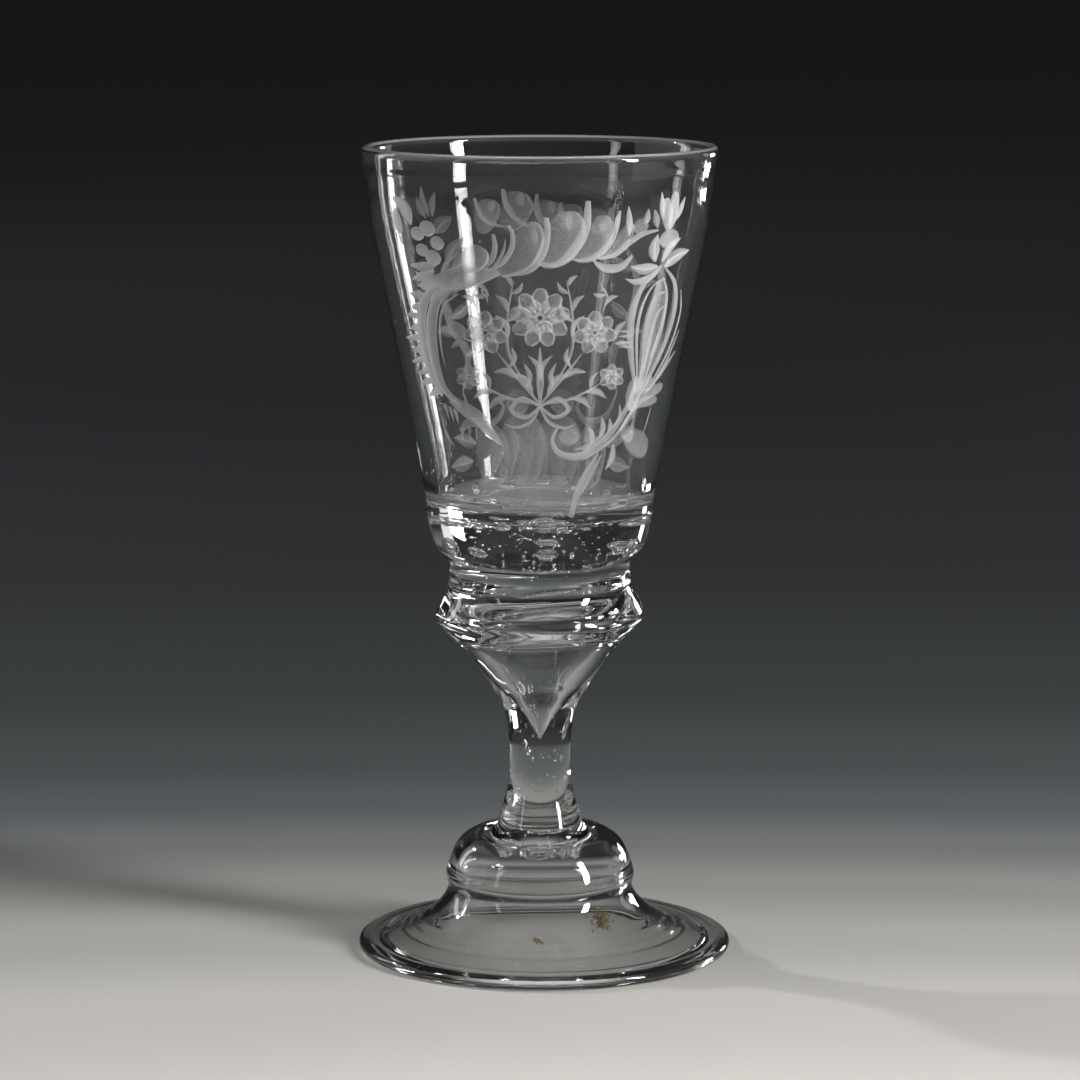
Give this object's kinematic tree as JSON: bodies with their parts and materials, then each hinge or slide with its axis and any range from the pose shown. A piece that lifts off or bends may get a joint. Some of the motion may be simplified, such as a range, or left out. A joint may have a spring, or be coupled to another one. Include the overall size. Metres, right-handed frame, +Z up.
{
  "type": "goblet",
  "caption": "Footed drinking goblet of clear blown glass with a conical bowl on a thick base, a ring knop over an inverted baluster stem with an air tear, and a domed foot with a folded rim.",
  "frame": {"origin": "on the axis of the glass, at the table that the foot stands on", "axes": "+Z up along the axis of the glass, -Y towards the engraved front"},
  "size_m": [0.0974, 0.0974, 0.21],
  "materials": {
    "bowl_glass": "clear fire-polished blown glass, wheel-engraved and frosted on the outside",
    "base_glass": "clear thick glass with seeds and trapped air bubbles",
    "stem_glass": "clear fire-polished glass with an air tear and seeds",
    "foot_glass": "clear fire-polished glass with tool rings and small brown inclusions",
    "scar_glass": "rough broken glass"
  },
  "bodies": {
    "root": {"bowl": "bowl_glass", "bowl_base": "base_glass", "neck_collar": "stem_glass", "shoulder_knop": "stem_glass", "baluster_stem": "stem_glass", "domed_foot": "foot_glass", "pontil_scar": "scar_glass"}
  },
  "joints": []
}
